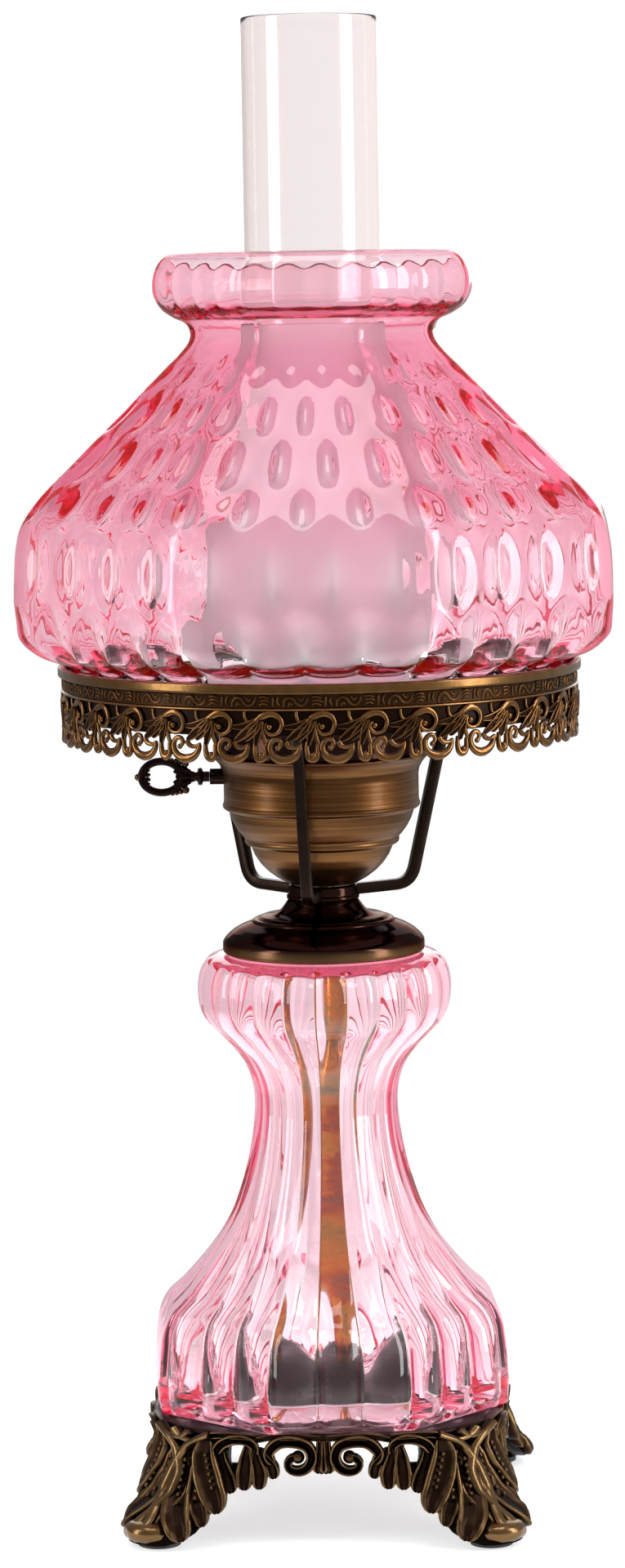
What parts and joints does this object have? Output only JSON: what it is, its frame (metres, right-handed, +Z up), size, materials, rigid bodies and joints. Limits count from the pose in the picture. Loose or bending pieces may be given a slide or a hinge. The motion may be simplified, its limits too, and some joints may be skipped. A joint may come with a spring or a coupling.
{
  "type": "table lamp",
  "caption": "Electric table lamp in oil-lamp style: footed cast base, fluted glass font, key-switch cup, pierced gallery ring, octagonal dimpled shade and glass chimney.",
  "frame": {"origin": "on the lamp's axis, on the surface that the foot pads stand on", "axes": "+Z up along the lamp's axis, front faces -Y, switch key points to -X"},
  "size_m": [0.2368, 0.2368, 0.603],
  "materials": {
    "antique_bronze": "dark bronze casting with rubbed brass highlights",
    "felt": "black pad",
    "zinc_steel": "zinc plated",
    "bush_plastic": "moulded insulating bush",
    "brass": "plain brass",
    "seal": "soft gasket",
    "pink_glass": "transparent cranberry-pink pressed glass",
    "clear_glass": "clear glass with a satin lower part",
    "bulb_clear": "clear bulb glass",
    "gold_tube": "iridescent gold and copper plated tube",
    "dark_bronze": "glossy dark bronze with rubbed edges",
    "arm_bronze": "satin dark bronze",
    "antique_brass": "brushed antique brass with turning lines",
    "ring_brass": "antique brass with dark recesses",
    "key_bronze": "cast dark bronze",
    "card": "grey-brown card liner",
    "phenolic": "moulded phenolic",
    "copper_alloy": "bare contact metal",
    "steel_shaft": "turned steel",
    "base_aluminium": "screw base of the bulb",
    "black_glass": "black glass insulator",
    "solder": "solder button"
  },
  "bodies": {
    "lamp": {"base_casting": "antique_bronze", "foot_pads": "felt", "base_washer": "zinc_steel", "base_nut": "zinc_steel", "cord_bushing": "bush_plastic", "threaded_rod": "brass", "font_gasket": "seal", "font_glass": "pink_glass", "centring_cup": "dark_bronze", "rod_sleeve": "gold_tube", "cap_gasket": "seal", "vase_cap": "dark_bronze", "spider_hub": "arm_bronze", "shade_arm_1": "arm_bronze", "shade_arm_2": "arm_bronze", "shade_arm_3": "arm_bronze", "burner_cup": "antique_brass", "cup_washer": "zinc_steel", "cup_nut": "brass", "chimney_seat": "brass", "socket_cap": "brass", "socket_shell": "brass", "socket_liner": "card", "socket_body": "phenolic", "terminal_screws": "copper_alloy", "screw_shell": "copper_alloy", "centre_contact": "copper_alloy", "key_bushing": "key_bronze", "ring_band": "ring_brass", "ring_filigree": "ring_brass", "ring_shelf": "ring_brass", "ring_screws": "brass"},
    "key": {"turn_key": "key_bronze", "key_shaft": "steel_shaft", "switch_rotor": "phenolic"},
    "chimney": {"chimney_glass": "clear_glass"},
    "shade": {"shade_glass": "pink_glass"},
    "bulb": {"bulb_glass": "bulb_clear", "bulb_base": "base_aluminium", "bulb_insulator": "black_glass", "bulb_contact": "solder", "bulb_stem": "bulb_clear", "bulb_filament": "steel_shaft"}
  },
  "joints": [
    {"name": "key_turn", "type": "hinge", "parent": "lamp", "child": "key", "pos_m": [-0.0449, 0, 0.2997], "axis": [1, 0, 0], "continuous": true},
    {"name": "chimney_lift", "type": "slide", "parent": "lamp", "child": "chimney", "axis": [0, 0, 1], "range_m": [0, 0.31]},
    {"name": "shade_lift", "type": "slide", "parent": "chimney", "child": "shade", "axis": [0, 0, 1], "range_m": [0, 0.28]},
    {"name": "bulb_unscrew", "type": "slide", "parent": "lamp", "child": "bulb", "axis": [0, 0, 1], "range_m": [0, 0.024]}
  ]
}
